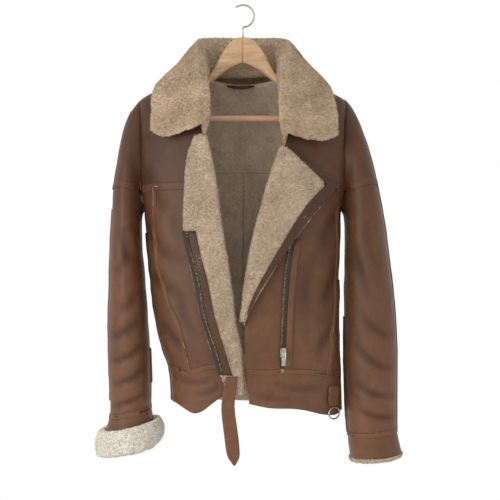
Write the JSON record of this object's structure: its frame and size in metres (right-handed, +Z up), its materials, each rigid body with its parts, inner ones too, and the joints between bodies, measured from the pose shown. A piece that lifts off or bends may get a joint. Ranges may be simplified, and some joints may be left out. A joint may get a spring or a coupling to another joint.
{
  "type": "shearling jacket on a wooden hanger",
  "caption": "Open shearling jacket with a wide fleece collar and turned-back fronts, hanging on a wooden hanger.",
  "frame": {"origin": "crest of the hanger's hook, where a rail holds it", "axes": "+Z up, the front faces -Y, +X to the picture's right; L and R in names are the picture's left and right"},
  "size_m": [0.5926, 0.2332, 0.8789],
  "materials": {
    "leather": "soft sheen, mottled",
    "fleece": "clipped sheepskin wool",
    "wood": "clear lacquer",
    "zip": "aged teeth on dark tape",
    "hardware": "antique, worn",
    "hook_wire": "plain wire"
  },
  "bodies": {
    "root": {"front_yoke_L": "leather", "front_yoke_R": "leather", "front_centre_L": "leather", "front_centre_R": "leather", "front_side_L": "leather", "front_side_R": "leather", "waistband_front_L": "leather", "waistband_front_R": "leather", "waistband_back": "leather", "back_yoke": "leather", "back_L": "leather", "back_R": "leather", "sleeve_head_front_L": "leather", "sleeve_head_front_R": "leather", "sleeve_head_back_L": "leather", "sleeve_head_back_R": "leather", "sleeve_front_L": "leather", "sleeve_front_R": "leather", "sleeve_back_L": "leather", "sleeve_back_R": "leather", "cuff_L": "leather", "cuff_R": "leather", "lapel_edge_R": "leather", "edge_strip_L": "leather", "zip_strip_R": "leather", "belt_end": "leather", "belt_tab": "leather", "hang_loop": "leather", "collar": "fleece", "turned_front_L": "fleece", "turned_front_R": "fleece", "cuff_fleece_L": "fleece", "cuff_fleece_R": "fleece", "hanger_L": "wood", "hanger_R": "wood", "hanger_bar": "wood", "hanger_hook": "hook_wire", "zip_L": "zip", "zip_R": "zip", "zip_slider": "hardware", "zip_stop": "hardware"},
    "pull_tab": {"pull_tab": "hardware"},
    "belt_ring": {"belt_ring": "hardware"}
  },
  "joints": [
    {"name": "pull_tab_swing", "type": "hinge", "parent": "root", "child": "pull_tab", "pos_m": [0.07565, -0.09883, -0.661], "axis": [0.9894, 0.1451, 0], "range_deg": [-160, 0]},
    {"name": "belt_ring_swing", "type": "hinge", "parent": "root", "child": "belt_ring", "pos_m": [0.17243, -0.04578, -0.7712], "axis": [0.7379, 0.6749, 0], "range_deg": [-110, 0]}
  ]
}
